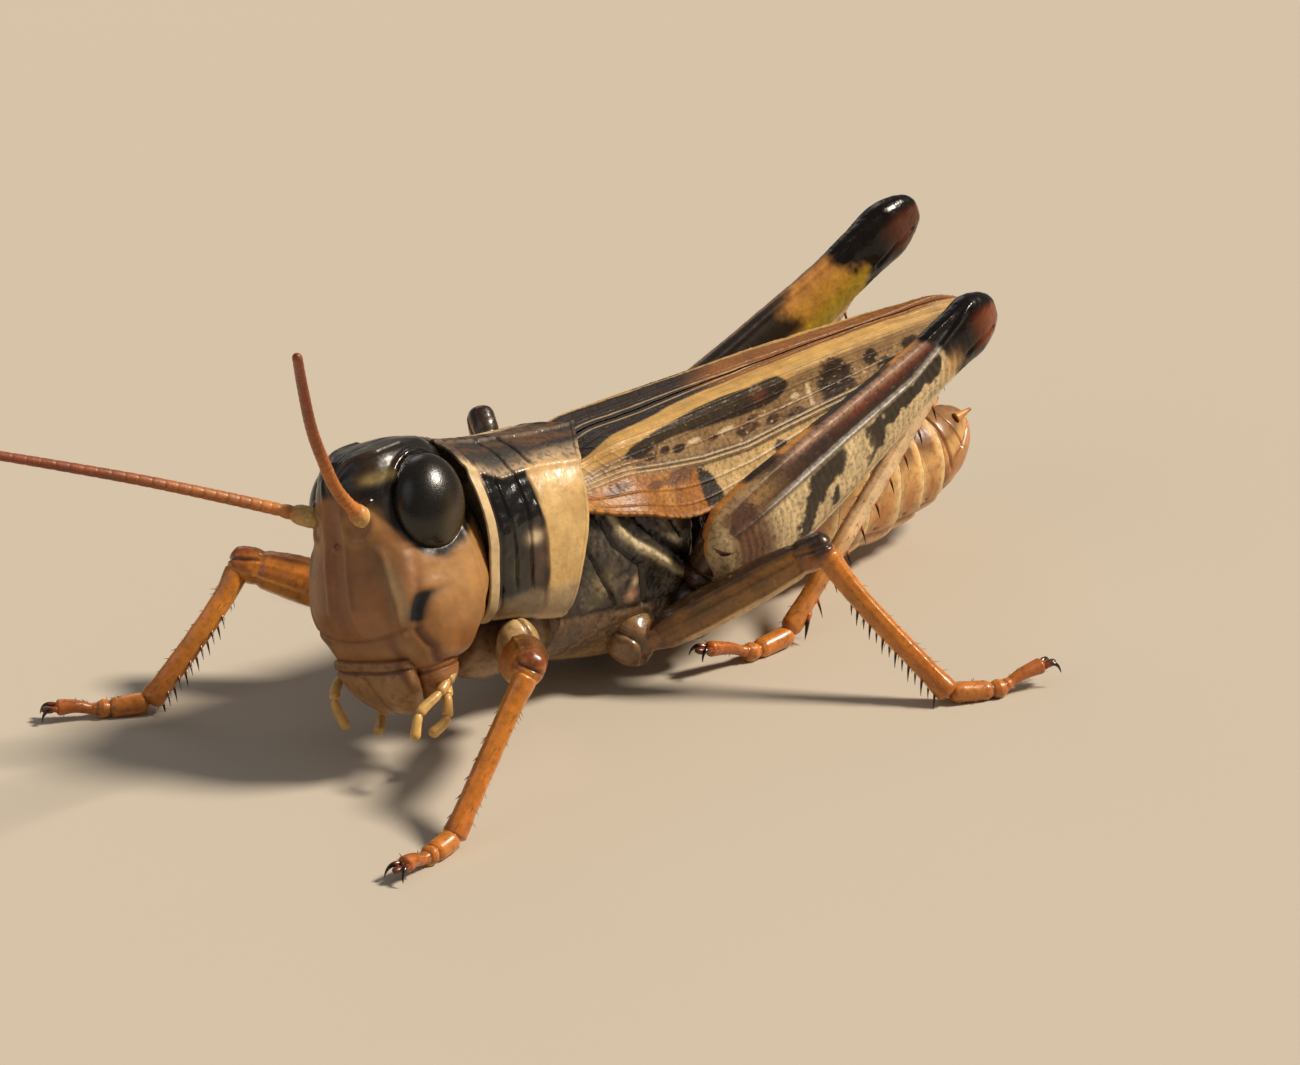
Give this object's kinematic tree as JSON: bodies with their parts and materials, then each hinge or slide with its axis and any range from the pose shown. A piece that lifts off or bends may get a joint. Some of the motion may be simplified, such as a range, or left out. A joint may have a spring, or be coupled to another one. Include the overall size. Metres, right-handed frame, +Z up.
{
  "type": "grasshopper",
  "caption": "Life-size still model of an adult clear-winged grasshopper standing alert on its legs, feelers spread and wings folded along the back.",
  "frame": {"origin": "on the floor, under the middle of the model's bounding box", "axes": "+Z up from the floor, -Y the way the animal faces, +X to the animal's left; +Y runs back along the folded wings"},
  "size_m": [0.0156, 0.0254, 0.0107],
  "materials": {
    "shell_dark": "near-black mottled cuticle, glossy",
    "shell_face": "tan-orange cuticle, satin",
    "shell_pale": "cream and brown cuticle, satin",
    "eye": "dark brown, glossy",
    "wing": "brown leathery fore wing with pale stripe, satin",
    "abdomen": "orange-yellow ringed cuticle, satin",
    "leg_orange": "orange-red cuticle, glossy",
    "leg_brown": "brown and cream banded cuticle, glossy",
    "feeler": "orange-red segmented thread, satin"
  },
  "bodies": {
    "root": {"abdomen": "abdomen", "abdomen_tip": "abdomen", "antenna_l": "feeler", "antenna_r": "feeler", "eye_l": "eye", "eye_r": "eye", "fore_coxa_l": "shell_pale", "fore_coxa_r": "shell_pale", "fore_femur_l": "leg_orange", "fore_femur_r": "leg_orange", "fore_tarsus_l": "leg_orange", "fore_tarsus_r": "leg_orange", "fore_tibia_l": "leg_orange", "fore_tibia_r": "leg_orange", "fore_wing_l": "wing", "fore_wing_r": "wing", "head": "shell_face", "hind_coxa_l": "leg_brown", "hind_coxa_r": "leg_brown", "hind_femur_l": "leg_brown", "hind_femur_r": "leg_brown", "hind_tarsus_l": "leg_orange", "hind_tarsus_r": "leg_orange", "hind_tibia_l": "leg_orange", "hind_tibia_r": "leg_orange", "labial_palp_l": "shell_pale", "labial_palp_r": "shell_pale", "labium": "shell_face", "labrum": "shell_face", "mandible_l": "shell_face", "mandible_r": "shell_face", "maxillary_palp_l": "shell_pale", "maxillary_palp_r": "shell_pale", "mid_coxa_l": "leg_brown", "mid_coxa_r": "leg_brown", "mid_femur_l": "leg_brown", "mid_femur_r": "leg_brown", "mid_tarsus_l": "leg_orange", "mid_tarsus_r": "leg_orange", "mid_tibia_l": "leg_orange", "mid_tibia_r": "leg_orange", "pronotum": "shell_pale", "prosternum": "shell_dark", "pterothorax": "shell_dark"}
  },
  "joints": []
}
